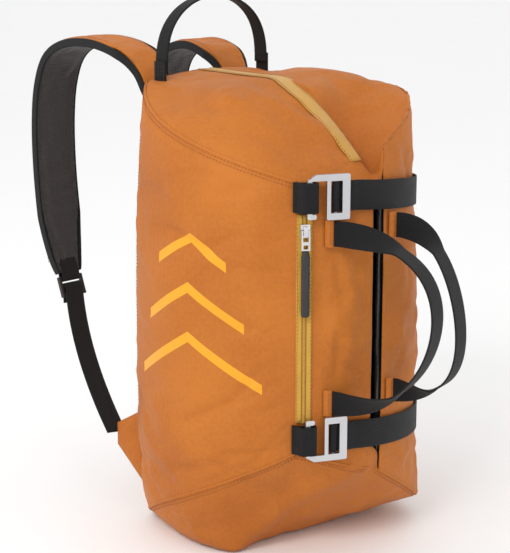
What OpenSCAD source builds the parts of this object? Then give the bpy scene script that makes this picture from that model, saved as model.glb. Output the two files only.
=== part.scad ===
// Rope storage bag: a drum-shaped fabric bag with a flat back, a mouth down the
// front, two cross straps with metal hooks, carry handles and shoulder straps.
// X runs across the bag, -Y is the mouth side, +Y the wearer's side, +Z up.

/* [Bag] */
// Radius of the round part of the bag
bag_r = 150; // [125:1:180]
// Distance from the bag's axis to its flat back
back_y = 110; // [92:1:125]
// Height of the bag at its back edge
bag_h = 480; // [400:1:580]
// Thickness of a fabric wall with its lining
wall = 3; // [2.5:0.5:3.5]
// Share of the radius lost at the top and bottom rim
rim_pinch = 0.08; // [0:0.01:0.12]
// Rise of the top above its rim at the back
crown = 6; // [2:1:15]
// Rise of the back's top edge at its middle
back_arch = 8; // [0:1:15]
// Radius of the flat patch that the bag stands on, at its sides
base_r = 116; // [90:1:125]
// Distance from the bag's axis to the flat patch's front edge
base_front = 42; // [30:1:70]

/* [Seams] */
// How far the left top seam drops from the back corner to the zip
top_drop = 80; // [60:1:100]
// How far the left bottom seam rises from the back corner to the zip
bottom_rise = 119; // [70:1:125]
// Drop of the right mouth panel's top where it meets the mouth
lip_drop = 50; // [30:1:60]
// Height of the mouth's lower end
mouth_low = 92; // [60:1:100]
// Height of the right bottom corner
ear_low = 26; // [20:1:60]
// Width of the gap between the two lips of the mouth
mouth_gap = 16; // [13:1:18]
// Thickness of the binding round each lip
binding_d = 8; // [6:0.5:9]

/* [Straps and hooks] */
// Width of the webbing of cross straps, handles and haul loop
web_w = 30; // [25:1:38]
// Thickness of webbing
web_t = 1.8; // [1.4:0.1:2.4]
// Height of the upper cross strap's centre line
upper_strap_z = 386; // [370:1:392]
// Height of the lower cross strap's centre line
lower_strap_z = 140; // [120:1:145]
// Thickness of the hook plate
hook_t = 4; // [3:0.5:5]
// Width of a hook's bars
hook_bar = 5; // [4:0.5:6]
// Length of the hook's frame along the strap
frame_len = 24; // [20:1:28]
// Distance from the frame to the bar that sits in the anchor loop
hook_reach = 20; // [18:1:26]

/* [Zip] */
// Width of the zip tape that shows
zip_w = 15; // [12:1:20]
// Length of the slider's body
slider_len = 13; // [10:1:16]
// Width of the slider's body
slider_w = 9.5; // [8:0.5:12]
// Length of the metal puller
puller_len = 20; // [16:1:26]
// Length of the soft pull tab
tab_len = 70; // [50:1:80]

/* [Handles] */
// Distance from the mouth panel to the top of a handle's loop
handle_reach = 112; // [80:1:125]
// Height of the upper handle foot
handle_top_z = 349; // [325:1:349]
// Height of the lower handle foot
handle_low_z = 176; // [176:1:194]
// Height of the haul loop above its feet
haul_rise = 76; // [60:1:100]
// Distance between the feet of the haul loop
haul_span = 150; // [120:1:170]

/* [Shoulder straps] */
// Width of the shoulder pads
pad_w = 56; // [45:1:70]
// Thickness of the shoulder pads, cover and lining together
pad_t = 10; // [8:1:12]
// Width of the adjusting webbing
adjust_w = 25; // [20:1:30]
// Distance of each shoulder strap from the centre
strap_x = 60; // [45:1:66]

/* [Hidden] */

// Directions round the bag, in degrees from the mouth; left is negative.
corner_a = 180 - acos(back_y / bag_r);
zip_a = -39;                 // seam of left side panel and left mouth panel
right_seam_a = 42;           // seam of right side panel and right mouth panel
left_handle_a = -25;         // feet of the left handle
right_handle_a = 5;          // feet of the right handle
hook_a = -28;                // centre of each hook
mouth_a = -3.5;              // middle of the mouth
gap_a = asin(mouth_gap / 2 / bag_r);
fold_a = mouth_a + gap_a * 0.8;  // here the top's fold starts, and the right lip's rim
back_low = 5;                // height of the bottom corners at the back
ear_drop = 8;                // drop of the top at the right seam
fold_depth = 66;             // depth of the fold behind the right lip's ridge
fit = 0.4;                   // clearance between separate pieces
skin = 1.2;                  // height of a sewn patch above the wall
$fn = 32;

// ---- The drum: radius, rim heights and points on it ----

function mix(a, b, t) = a + (b - a) * t;
function level(z) = 2 * z / bag_h - 1;
// The bottom right corner sticks out, where the end is folded.
function ear(a, z) = level(z) < 0 ? (rim_pinch + 0.08) * pow(max(0, cos(a - 44)), 12) : 0;
// The upper strap draws the bag in at its right, and the pads do at its left corner.
function waist(a, z) = level(z) < 0 ? 0 : 6.75 * pow(level(z), 2) * (1 - min(1, level(z)))
    * (0.045 * pow(max(0, cos(a - 52)), 8) + 0.02 * pow(max(0, cos(a + 136)), 4));
function round_r(z, a) =
    bag_r * (1 - (rim_pinch - ear(a, z)) * pow(abs(level(z)), 4) - waist(a, z));
function flat_r(a, y) = cos(a) < -0.1 ? y / -cos(a) : 1e6;
function drum_r(a, z, in = 0) = min(round_r(z, a) - in, flat_r(a, back_y - in));
function drum(a, z, in = 0) =
    let (r = drum_r(a, z, in)) [r * sin(a), -r * cos(a), z];
function out(a) = [sin(a), -cos(a), 0];
function along(a) = [cos(a), sin(a), 0];

// Height of the upper rim at direction a.
function rim_top(a) =
    a < zip_a ? mix(bag_h - top_drop, bag_h, (zip_a - a) / (corner_a + zip_a)) :
    a < fold_a ? bag_h - top_drop - 14 * (a - zip_a) / (fold_a - zip_a) :
    a < right_seam_a ? mix(bag_h - lip_drop, bag_h - ear_drop,
        pow((a - fold_a) / (right_seam_a - fold_a), 0.7)) :
    mix(bag_h - ear_drop, bag_h, pow((a - right_seam_a) / (corner_a - right_seam_a), 1.6));

// Height of the lower rim at direction a.
function rim_low(a) =
    a < zip_a ? mix(back_low + bottom_rise, back_low, (zip_a - a) / (corner_a + zip_a)) :
    a < fold_a ? mix(back_low + bottom_rise, mouth_low, (a - zip_a) / (fold_a - zip_a)) :
    a < right_seam_a ? mix(mouth_low, ear_low, (a - fold_a) / (right_seam_a - fold_a)) :
    mix(ear_low, back_low, (a - right_seam_a) / (corner_a - right_seam_a));

function rim_top_back(a) = abs(a) < corner_a ? rim_top(a) :
    bag_h + back_arch * sin(90 * (abs(a) - corner_a) / (180 - corner_a));
function rim_low_back(a) = abs(a) > corner_a ? back_low : rim_low(a);

// Even steps from a to b, both ends included.
function steps(a, b, n) = [for (i = [0:n]) mix(a, b, i / n)];

// ---- Closed shells from two grids of points with the same size ----

function grid_faces(n, m, first, turn) = [for (i = [0:n - 2], j = [0:m - 2])
    let (a = first + i * m + j, b = a + 1, c = a + m, d = c + 1)
    each turn ? [[a, c, b], [b, c, d]] : [[a, b, c], [b, d, c]]];
function seam_faces(edge, shift, turn) = [for (k = [0:len(edge) - 2])
    let (a = edge[k], b = edge[k + 1], c = a + shift, d = b + shift)
    each turn ? [[a, b, c], [b, d, c]] : [[a, c, b], [b, c, d]]];

// outer and inner are grids of rows.
module shell(outer, inner) {
    n = len(outer);
    m = len(outer[0]);
    points = concat([for (r = outer) each r], [for (r = inner) each r]);
    low = [for (i = [0:n - 1]) i * m];
    high = [for (i = [0:n - 1]) i * m + m - 1];
    first = [for (j = [0:m - 1]) j];
    last = [for (j = [0:m - 1]) (n - 1) * m + j];
    polyhedron(points, concat(
        grid_faces(n, m, 0, true), grid_faces(n, m, n * m, false),
        seam_faces(low, n * m, false), seam_faces(high, n * m, true),
        seam_faces(first, n * m, true), seam_faces(last, n * m, false)));
}

// A stretch of the drum wall between the two rims, from direction a to b.
module wall_panel(dirs, n = 12) {
    function column(a, in) = [for (t = steps(0, 1, n))
        drum(a, mix(rim_low_back(a), rim_top_back(a), t), in)];
    shell([for (a = dirs) column(a, 0)], [for (a = dirs) column(a, wall)]);
}

// ---- Flat webbing along a route ----
// route holds [point, width direction, thickness direction] stations.
module webbing(route, w, t) {
    n = len(route);
    points = [for (s = route) each [
        s[0] - s[1] * w / 2 - s[2] * t / 2, s[0] + s[1] * w / 2 - s[2] * t / 2,
        s[0] + s[1] * w / 2 + s[2] * t / 2, s[0] - s[1] * w / 2 + s[2] * t / 2]];
    sides = [for (i = [0:n - 2], k = [0:3])
        let (a = i * 4 + k, b = i * 4 + (k + 1) % 4)
        each k < 2 ? [[a, a + 4, b], [b, a + 4, b + 4]] : [[a, a + 4, b + 4], [a, b + 4, b]]];
    last = (n - 1) * 4;
    polyhedron(points, concat(sides,
        [[0, 1, 2], [0, 2, 3], [last, last + 2, last + 1], [last, last + 3, last + 2]]));
}
function unit(v) = v / norm(v);
function heading(p, i) = unit(p[min(i + 1, len(p) - 1)] - p[max(i - 1, 0)]);
// Stations of a band whose width direction is held near side.
function band(p, side) = [for (i = [0:len(p) - 1])
    let (h = heading(p, i), s = unit(side - h * (side * h))) [p[i], s, cross(h, s)]];

// ---- Shell of the bag ----
left_dirs = steps(-corner_a, zip_a, 14);
right_dirs = steps(right_seam_a, corner_a, 14);
left_lip_dirs = steps(zip_a, mouth_a - gap_a, 6);
right_lip_dirs = steps(mouth_a + gap_a, right_seam_a, 7);
back_dirs = steps(corner_a, 360 - corner_a, 10);

function signed(a) = a > 180 ? a - 360 : a;
all_dirs = concat([for (i = [0:13]) left_dirs[i]], [for (i = [0:6]) left_lip_dirs[i]],
    [fold_a - 0.1], [for (i = [0:6]) right_lip_dirs[i]], [for (i = [0:14]) right_dirs[i]],
    [for (i = [1:9]) signed(back_dirs[i])]);

module back_panel() {
    color("darkorange") wall_panel([for (a = back_dirs) signed(a)], 10);
}
module left_side_panel() { color("darkorange") wall_panel(left_dirs); }
module right_side_panel() { color("darkorange") wall_panel(right_dirs); }
module left_mouth_panel() { color("darkorange") wall_panel(left_lip_dirs); }
module right_mouth_panel() { color("darkorange") wall_panel(right_lip_dirs); }

// End panels close the drum from its rim to the middle.
rings = [0, 0.08, 0.2, 0.36, 0.56, 0.78];
// The top dips behind the right lip's ridge, where its cloth is folded in.
function valley(a, t) = a < fold_a || a > 60 ? 0 :
    fold_depth * (60 - a) / (60 - fold_a) * pow(sin(180 * min(1, t / 0.6)), 0.5);
function top_point(a, t, in) = let (z = rim_top_back(a), p = drum(a, z, in))
    [p[0] * (1 - t), p[1] * (1 - t),
        mix(z, bag_h + crown - in, 1 - pow(1 - t, 1.7)) - valley(a, t)];
// The flat patch is a round one, cut off at the front and close to the back.
function base_reach(a) = min(base_r, back_y / max(0.01, -cos(a)) - 6,
    base_front / max(0.01, cos(a)) + 10 * pow(cos(a), 2));
function foot_t(a) = 1 - base_reach(a) / drum_r(a, rim_low_back(a));
function low_point(a, t, in) =
    let (z = rim_low_back(a), p = drum(a, z, in), q = drum(a, z), s = min(1, t / foot_t(a)))
    t < foot_t(a) ?
        [mix(p[0], q[0] * (1 - foot_t(a)), s), mix(p[1], q[1] * (1 - foot_t(a)), s),
            mix(z, in, 0.72 * s + 0.28 * sin(90 * s))] :
        [q[0] * (1 - t), q[1] * (1 - t), in];

module end_shell(outer, inner, centre_out, centre_in, up) {
    n = len(outer);
    m = len(outer[0]);
    count = n * m;
    points = concat([for (r = outer) each r], [for (r = inner) each r], [centre_out, centre_in]);
    function wrap(i) = (i + n) % n;
    top = [for (i = [0:n - 1], j = [0:m - 2])
        let (a = i * m + j, b = a + 1, c = wrap(i + 1) * m + j, d = c + 1)
        each [[a, b, c], [b, d, c]]];
    under = [for (f = top) [f[0] + count, f[2] + count, f[1] + count]];
    caps = [for (i = [0:n - 1]) let (a = i * m + m - 1, c = wrap(i + 1) * m + m - 1)
        each [[a, 2 * count, c], [a + count, c + count, 2 * count + 1]]];
    edge = [for (i = [0:n - 1]) let (a = i * m, c = wrap(i + 1) * m)
        each [[a, c, a + count], [c, c + count, a + count]]];
    faces = concat(top, under, caps, edge);
    polyhedron(points, up ? faces : [for (f = faces) [f[0], f[2], f[1]]]);
}
module top_end_panel() {
    color("darkorange") end_shell(
        [for (a = all_dirs) [for (t = rings) top_point(a, t, 0)]],
        [for (a = all_dirs) [for (t = rings) top_point(a, t, wall)]],
        [0, 0, bag_h + crown], [0, 0, bag_h + crown - wall], true);
}
function low_rings(a) = concat([for (s = [0, 0.2, 0.4, 0.6, 0.8]) s * foot_t(a)],
    [foot_t(a), 0.9]);
module bottom_end_panel() {
    color("darkorange") end_shell(
        [for (a = all_dirs) [for (t = low_rings(a)) low_point(a, t, 0)]],
        [for (a = all_dirs) [for (t = low_rings(a)) low_point(a, t, wall)]],
        [0, 0, 0], [0, 0, wall], false);
}

// Reinforcing tape along the middle of the top, from the back to the mouth.
tape_w = 22;
tape_t = 1;
tape_front = 30 - bag_r;
tape_shift = 14;                 // the tape ends beside the mouth, not over it
function top_z(x, y) = let (a = atan2(x, -y), rim = drum_r(a, rim_top_back(a)))
    top_point(a, max(0, 1 - norm([x, y]) / rim), 0)[2];
function tape_x(y) = y > 0 ? 0 : -tape_shift * sin(90 * min(1, y / (tape_front / 2)));
module top_seam_tape() {
    color("goldenrod") webbing(
        band([for (y = steps(back_y - 12, tape_front, 18))
            [tape_x(y), y, max([for (k = [-1:1]) top_z(tape_x(y) + k * tape_w / 2, y)])
                + tape_t / 2 + 1.9]], [1, 0, 0]),
        tape_w, tape_t);
}

// Round black binding behind each lip.
module lip_binding(s) {
    a = mouth_a + s * (gap_a + 1.2);
    zs = [rim_low(a) + wall + 12, rim_top(mouth_a - gap_a) - wall - 12];
    foot = drum(a, bag_h / 2, wall + binding_d / 2 + 2.2);
    color("black") translate([foot[0], foot[1], zs[0]])
        cylinder(d = binding_d, h = zs[1] - zs[0]);
}
module left_lip_binding() { lip_binding(-1); }
module right_lip_binding() { lip_binding(1); }

// ---- Zip on the left front seam ----
zip_dir = zip_a + 2.8;
zip_top = upper_strap_z - web_w / 2 - 2;
zip_low = lower_strap_z + web_w / 2 + 2;
zip_t = 1.2;
slider_z = zip_top - slider_len - 3;
coil_w = 4.5;
slider_h = 4;
tab_w = 8;

// Places children in the plane that touches the drum at direction a and height z:
// x along the wall to the right, y up, z outwards.
module on_drum(a, z, off = 0) {
    translate(out(a) * (bag_r + off) + [0, 0, z])
        multmatrix([[cos(a), 0, sin(a), 0], [sin(a), 0, -cos(a), 0], [0, 1, 0, 0], [0, 0, 0, 1]])
        children();
}
module slab(w, h, t) { translate([-w / 2, -h / 2, 0]) cube([w, h, t]); }

module zip_tape() {
    h = zip_top - zip_low;
    color("gold") on_drum(zip_dir, (zip_top + zip_low) / 2, fit) difference() {
        slab(zip_w, h, zip_t);
        translate([0, 0, zip_t / 2]) slab(coil_w + 2 * fit, h + 2, zip_t);
    }
}
module zip_coil() {
    h = zip_top - zip_low;
    color("gold") on_drum(zip_dir, (zip_top + zip_low) / 2, fit + zip_t / 2)
        slab(coil_w, h, zip_t);
}
module zip_pocket_bag() {
    h = zip_top - zip_low;
    function leaf(a, in) = [for (z = steps(zip_low + 4, zip_top - 4, 4)) drum(a, z, in)];
    dirs = steps(zip_a - 34, zip_a + 2, 8);
    color("dimgray") shell([for (a = dirs) leaf(a, wall + 2)], [for (a = dirs) leaf(a, wall + 4)]);
}
slider_base = fit + 1.5 * zip_t + 0.3;
module zip_slider() {
    color("silver") on_drum(zip_dir, slider_z, slider_base) difference() {
        union() {
            slab(slider_w, slider_len, slider_h * 0.6);
            translate([0, 0, slider_h * 0.6]) slab(slider_w * 0.5, slider_len * 0.7, slider_h * 0.9);
        }
        translate([0, 0, slider_h * 1.05]) rotate([0, 90, 0])
            cylinder(d = 2.6, h = slider_w, center = true);
    }
}
puller_z = slider_z;
puller_off = slider_base + slider_h * 1.05;
puller_t = 1.6;
module zip_puller() {
    color("silver") on_drum(zip_dir, puller_z, puller_off) {
        rotate([0, 90, 0]) cylinder(d = 1.8, h = slider_w * 0.5 + 1.2, center = true);
        difference() {
            translate([0, -puller_len / 2 + 1, 0]) translate([0, 0, -puller_t / 2])
                slab(slider_w * 0.5 + 4, puller_len, puller_t);
            translate([0, -puller_len / 4 + 1, -puller_t])
                slab(slider_w * 0.5 + 0.8, puller_len * 0.62, 2 * puller_t);
            translate([0, -puller_len + 4.5, -puller_t]) slab(slider_w * 0.5, 4, 2 * puller_t);
        }
        for (s = [-1, 1]) translate([s * (slider_w * 0.25 + 0.9), 0, 0])
            rotate([0, 90, 0]) cylinder(d = 1.8, h = 1.2, center = true);
    }
}
eye_y = 4.5 - puller_len;        // middle of the eye at the puller's lower end
module zip_pull_tab() {
    ply = 0.9;
    side = puller_t / 2 + fit;
    color("black") on_drum(zip_dir, puller_z, puller_off) translate([0, eye_y, 0]) {
        for (z = [side, -side - ply]) translate([0, (2 - tab_len) / 2, z])
            slab(slider_w * 0.5 - fit, tab_len + 2, ply);
        translate([0, 1, -side - ply]) slab(slider_w * 0.5 - 2 * fit, 2 - 2 * fit, 2 * (side + ply));
        translate([0, -(tab_len + 6) / 2, -side - ply]) slab(tab_w, tab_len - 6, 2 * (side + ply));
    }
}

// ---- Cross straps and hooks ----
hook_h = web_w + 3 * hook_bar;
slot_h = web_w + 1.6;
hook_off = 2 * web_t + 1.2;
bar_x = -frame_len / 2 - hook_reach + hook_bar / 2;
loop_in = hook_t + 3;            // room inside the anchor loop, outwards
nib = 4.5;                       // how far the hook's tip turns back
hook_shift = hook_reach / 2;

left_bar = 4;                    // the frame's bars left and right of its slot
right_bar = 8;
slot_w = frame_len - left_bar - right_bar;
core_w = 3;                      // low bar across the slot, under the webbing's fold
core_t = 1.6;
core_x = hook_shift - frame_len / 2 + left_bar + slot_w / 2;

// Outline of a hook: a frame with a slot, and an open hook on its left.
module hook_outline() {
    x0 = -frame_len / 2;
    clear = web_w / 2 + 1.2;
    difference() {
        offset(r = 2) offset(delta = -2) union() {
            translate([x0, -hook_h / 2]) square([frame_len, hook_h]);
            polygon([[x0 + 2, hook_h / 2], [x0 - hook_reach * 0.55, hook_h / 2],
                [bar_x - hook_bar / 2, clear + 1], [bar_x - hook_bar / 2, -clear - hook_bar],
                [bar_x + hook_bar / 2 + nib, -clear - hook_bar],
                [bar_x + hook_bar / 2 + nib, -clear], [bar_x + hook_bar / 2, -clear],
                [bar_x + hook_bar / 2, clear], [x0 + 2, clear]]);
        }
        translate([x0 + left_bar, -slot_h / 2]) square([slot_w, slot_h]);
    }
}
module hook(z, flip) {
    color("silver") on_drum(hook_a, z, hook_off) mirror([0, flip ? 1 : 0, 0]) {
        translate([hook_shift, 0, 0]) linear_extrude(hook_t) hook_outline();
        translate([core_x - core_w / 2, -slot_h / 2 - 1, 0]) cube([core_w, slot_h + 2, core_t]);
    }
}
module upper_hook() { hook(upper_strap_z, false); }
module lower_hook() { hook(lower_strap_z, true); }

// Webbing folded round the low bar in the slot, which leaves behind the right bar.
fold_end = hook_shift + frame_len / 2 + 5;
module hook_webbing(z) {
    fold_w = core_w + 2 * (fit + web_t);
    fold_t = core_t + 2 * (fit + web_t);
    color("black") on_drum(hook_a, z, hook_off - fit - web_t) rotate([90, 0, 0])
        translate([0, 0, -web_w / 2]) linear_extrude(web_w) difference() {
            union() {
                translate([core_x - fold_w / 2, 0]) square([fold_w, fold_t]);
                translate([core_x, 0]) square([fold_end - core_x, web_t]);
            }
            translate([core_x - core_w / 2 - fit, web_t])
                square([core_w + 2 * fit, core_t + 2 * fit]);
        }
}
module upper_hook_webbing() { hook_webbing(upper_strap_z); }
module lower_hook_webbing() { hook_webbing(lower_strap_z); }

// Short loop sewn into the zip seam, with the hook's bar inside it.
module anchor_loop(z) {
    root = hook_shift + bar_x - hook_bar / 2 - 11;
    tip = hook_shift + bar_x + hook_bar / 2 + nib + 0.8;
    floor_off = hook_off + hook_t / 2 - loop_in / 2;
    // the root lies on the drum, which falls away from the hook's plane
    low = sqrt(pow(bag_r + fit, 2) - root * root) - bag_r - (floor_off - web_t);
    color("black") on_drum(hook_a, z, floor_off - web_t) rotate([90, 0, 0])
        translate([0, 0, -web_w / 2]) linear_extrude(web_w) difference() {
            polygon([[root, low], [root, low + 2 * web_t], [root + 8, loop_in + 2 * web_t],
                [tip + web_t, loop_in + 2 * web_t], [tip + web_t, 0], [root + 8, 0]]);
            translate([root + 8.5, web_t]) square([tip - root - 8.5, loop_in]);
        }
}
module upper_anchor_loop() { anchor_loop(upper_strap_z); }
module lower_anchor_loop() { anchor_loop(lower_strap_z); }

// Long webbing from the hook, across the mouth, to the right side panel.
strap_end_a = 58;
upper_sink = 20;             // drop of each cross strap at its far end
lower_sink = 22;
module cross_strap(z, sink) {
    first = hook_a + atan((fold_end + 2 * fit) / (bag_r + 2));
    route = [for (a = steps(first + 0.4, strap_end_a, 16))
        let (s = (a - first) / (strap_end_a - first), mid = z - sink * s,
            r = max(drum_r(a, mid - web_w / 2), drum_r(a, mid + web_w / 2)))
        [out(a) * (mix(bag_r, r, min(1, 3 * s)) + fit + web_t / 2 + 2.6 * (1 - s)) + [0, 0, mid],
            [0, 0, 1], -out(a)]];
    color("black") webbing(route, web_w, web_t);
}
module upper_cross_strap() { cross_strap(upper_strap_z, upper_sink); }
module lower_cross_strap() { cross_strap(lower_strap_z, lower_sink); }

// ---- Carry handles ----
handle_mid_z = (handle_top_z + handle_low_z) / 2;
handle_half = (handle_top_z - handle_low_z) / 2;
handle_w = web_w * 0.85;
lean = unit([0.22, -0.976, 0]);  // direction in which both handle loops stand out
// hang lifts or lowers the outer part of a loop.
module carry_handle(a, reach, hang) {
    side = cross([0, 0, 1], lean);
    root = out(a) * (bag_r + skin + fit + web_t / 2 + 1);
    route = [for (t = steps(0, 180, 30))
        let (p = root + lean * reach * pow(sin(t), 0.8)
                + [0, 0, handle_mid_z + handle_half * cos(t) + hang * pow(sin(t), 2)],
            steep = t > 2 && t < 178 ? 1 : 1.6,
            h = unit(lean * reach * cos(t) * steep
                + [0, 0, 2 * hang * sin(t) * cos(t) - handle_half * sin(t)]),
            twist = min(90, min(t, 180 - t) * 2.6),
            s = cross(h, side) * cos(twist) + side * sin(twist))
        [p, s, cross(h, s)]];
    color("black") webbing(route, handle_w, web_t);
}
module left_handle() { carry_handle(left_handle_a, handle_reach, 13); }
module right_handle() { carry_handle(right_handle_a, handle_reach - 38, -24); }
module handle_patches(a) {
    color("chocolate") for (z = [handle_top_z, handle_low_z])
        on_drum(a, z, fit / 2) slab(8, handle_w + 1, skin);
}
module left_handle_patches() { handle_patches(left_handle_a); }
module right_handle_patches() { handle_patches(right_handle_a); }

// ---- Haul loop on the back's top edge ----
haul_w = web_w * 0.6;
haul_y = back_y - 6 - haul_w / 2;
haul_z = bag_h + 2;          // top of the seam that holds the tabs
haul_pivot = 10;             // height of the loop's ends above that seam
haul_tab_h = 20;
module haul_loop() {
    route = [for (t = steps(0, 180, 28))
        [-haul_span / 2 * cos(t), haul_y, haul_z + haul_pivot + haul_rise * pow(sin(t), 0.75)]];
    color("black") webbing(band(route, [0, 1, 0]), haul_w, web_t);
}
module haul_loop_tabs() {
    color("black") for (k = [-1, 1])
        translate([k * (haul_span / 2 + web_t + fit), haul_y, haul_z]) linear_extrude(haul_tab_h)
            square([web_t, haul_w], center = true);
}

// ---- Shoulder straps ----
// Middle line of a pad in the YZ plane; each pad leans outwards as it goes down.
left_line = [[121, 462], [129, 486], [150, 503], [192, 513], [236, 510], [266, 494],
    [281, 462], [286, 418], [284, 364], [277, 310], [268, 268], [260, 246]];
right_line = [[121, 462], [128, 482], [145, 496], [176, 505], [208, 499], [230, 482],
    [241, 452], [244, 412], [243, 364], [240, 316], [236, 276], [232, 252]];
pad_splay = 14;
line_y = back_y - 110;       // the lines above were drawn for these two sizes
line_z = bag_h - 477;
function pad_route(s, off) = let (p = s < 0 ? left_line : right_line, n = len(p) - 1)
    [for (i = [0:n])
        let (ahead = p[min(i + 1, n)] - p[max(i - 1, 0)], h = unit([0, ahead[0], ahead[1]]),
            up = cross([s, 0, 0], h) * s)
        [[s * (strap_x + pad_splay * i / n), p[i][0] + line_y, p[i][1] + line_z] + up * off,
            [min(1, 0.56 + 0.22 * min(i, n - i)), 0, 0], up]];
module pad_layer(s, off, t) {
    color(off > 0 ? "darkorange" : "black") webbing(pad_route(s, off), pad_w, t);
}
cover_t = pad_t * 0.3;
lining_t = pad_t - cover_t - fit;
module left_pad_cover() { pad_layer(-1, pad_t / 2 - cover_t / 2, cover_t); }
module right_pad_cover() { pad_layer(1, pad_t / 2 - cover_t / 2, cover_t); }
module left_pad_lining() { pad_layer(-1, lining_t / 2 - pad_t / 2, lining_t); }
module right_pad_lining() { pad_layer(1, lining_t / 2 - pad_t / 2, lining_t); }

// Frame at a pad's lower end: x across, y down along the strap, z away from the bag.
function pad_end(s) = let (r = pad_route(s, 0)) r[len(r) - 1][0];
function pad_heading(s) = let (r = pad_route(s, 0), n = len(r) - 1, d = r[n][0] - r[n - 1][0])
    unit([0, d[1], d[2]]);
module at_pad_end(s) {
    p = pad_end(s);
    h = pad_heading(s);
    multmatrix([[1, 0, 0, p[0]], [0, h[1], -h[2], p[1]], [0, h[2], h[1], p[2]], [0, 0, 0, 1]])
        children();
}
lock_t = 4;
lock_bar = 4;
lock_gap = 6;
lock_start = 4;
lock_w = adjust_w + 2 * lock_bar + 1.6;
lock_len = 3 * lock_bar + 2 * lock_gap;

// A fold of webbing round a bar from y0 to y1, with a fit all round it.
module bar_fold(y0, y1) {
    inside = lock_t / 2 + fit;
    rotate([90, 0, 90]) translate([0, 0, -adjust_w / 2]) linear_extrude(adjust_w) difference() {
        translate([y0 - fit - web_t, -inside - web_t])
            square([y1 - y0 + 2 * (fit + web_t), 2 * (inside + web_t)]);
        translate([y0 - fit, -inside]) square([y1 - y0 + 2 * fit, 2 * inside]);
    }
}
module lock_loop(s) {
    color("black") at_pad_end(s) bar_fold(lock_start, lock_start + lock_bar);
}
module left_lock_loop() { lock_loop(-1); }
module right_lock_loop() { lock_loop(1); }

module ladder_lock(s) {
    color("dimgray") at_pad_end(s) difference() {
        translate([-lock_w / 2, lock_start, -lock_t / 2]) cube([lock_w, lock_len, lock_t]);
        for (i = [0, 1])
            translate([-adjust_w / 2 - 0.8, lock_start + lock_bar + i * (lock_bar + lock_gap), -lock_t])
                cube([adjust_w + 1.6, lock_gap, 2 * lock_t]);
    }
}
module left_ladder_lock() { ladder_lock(-1); }
module right_ladder_lock() { ladder_lock(1); }

// Webbing from the lock's middle bar down to the wing at the bag's bottom edge.
wing_reach = 34;             // of the wing's tip behind the back
wing_z = 88;
wing_top = 120;
wing_low = 34;
wing_t = 2.6;
function wing_tip(s) = [s * 104, back_y + wing_reach, wing_z];
module adjust_webbing(s) {
    mid = lock_start + lock_bar + lock_gap;
    h = pad_heading(s);
    n = cross([1, 0, 0], h);
    start = pad_end(s) + h * (mid + lock_bar + fit + web_t / 2) - n * (lock_t / 2 + fit + web_t / 2);
    tip = wing_tip(s) + [0, 2, 1];
    bow = [0, 14, 0];
    color("black") {
        at_pad_end(s) bar_fold(mid, mid + lock_bar);
        webbing(band([for (t = steps(0, 1, 12)) mix(start, tip, t) + bow * 4 * t * (1 - t)],
            [1, 0, 0]), adjust_w, web_t);
    }
}
module left_adjust_webbing() { adjust_webbing(-1); }
module right_adjust_webbing() { adjust_webbing(1); }

// A flat triangle of cloth from the bag's back corner to the webbing's end.
module strap_wing() {
    edge = corner_a + 1;
    low = drum(edge, wing_low) + out(edge) * 1.5;
    high = drum(edge, wing_top) + out(edge) * 1.5;
    tip = wing_tip(1) - [0, 1, 0];
    n = unit(cross(high - low, tip - low)) * wing_t / 2;
    wide = [0, 0, 12];
    corners = [low, high, tip + wide, tip - wide];
    points = concat([for (p = corners) p - n], [for (p = corners) p + n]);
    color("darkorange") polyhedron(points, concat([[0, 1, 2], [0, 2, 3], [6, 5, 4], [7, 6, 4]],
        [for (i = [0:3]) let (k = (i + 1) % 4) each [[i, i + 4, k], [k, i + 4, k + 4]]]));
}
module left_strap_wing() { mirror([1, 0, 0]) strap_wing(); }
module right_strap_wing() { strap_wing(); }

back_panel();
left_side_panel();
right_side_panel();
left_mouth_panel();
right_mouth_panel();
top_end_panel();
bottom_end_panel();
top_seam_tape();
left_lip_binding();
right_lip_binding();
zip_pocket_bag();
zip_tape();
zip_coil();
zip_slider();
zip_puller();
zip_pull_tab();
upper_anchor_loop();
lower_anchor_loop();
upper_hook();
lower_hook();
upper_hook_webbing();
lower_hook_webbing();
upper_cross_strap();
lower_cross_strap();
left_handle();
right_handle();
left_handle_patches();
right_handle_patches();
haul_loop();
haul_loop_tabs();
left_pad_cover();
right_pad_cover();
left_pad_lining();
right_pad_lining();
left_lock_loop();
right_lock_loop();
left_ladder_lock();
right_ladder_lock();
left_adjust_webbing();
right_adjust_webbing();
left_strap_wing();
right_strap_wing();
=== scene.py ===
"""A rope storage bag: a drum of orange ripstop with a flat back, a mouth down its
front under two hooked straps, a zip pocket, two carry handles, a haul loop and two
padded shoulder straps. Metres, +Z up, mouth towards -Y, back towards +Y."""

import math

import bmesh
import bpy
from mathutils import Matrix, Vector, noise
from mathutils.bvhtree import BVHTree


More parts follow.
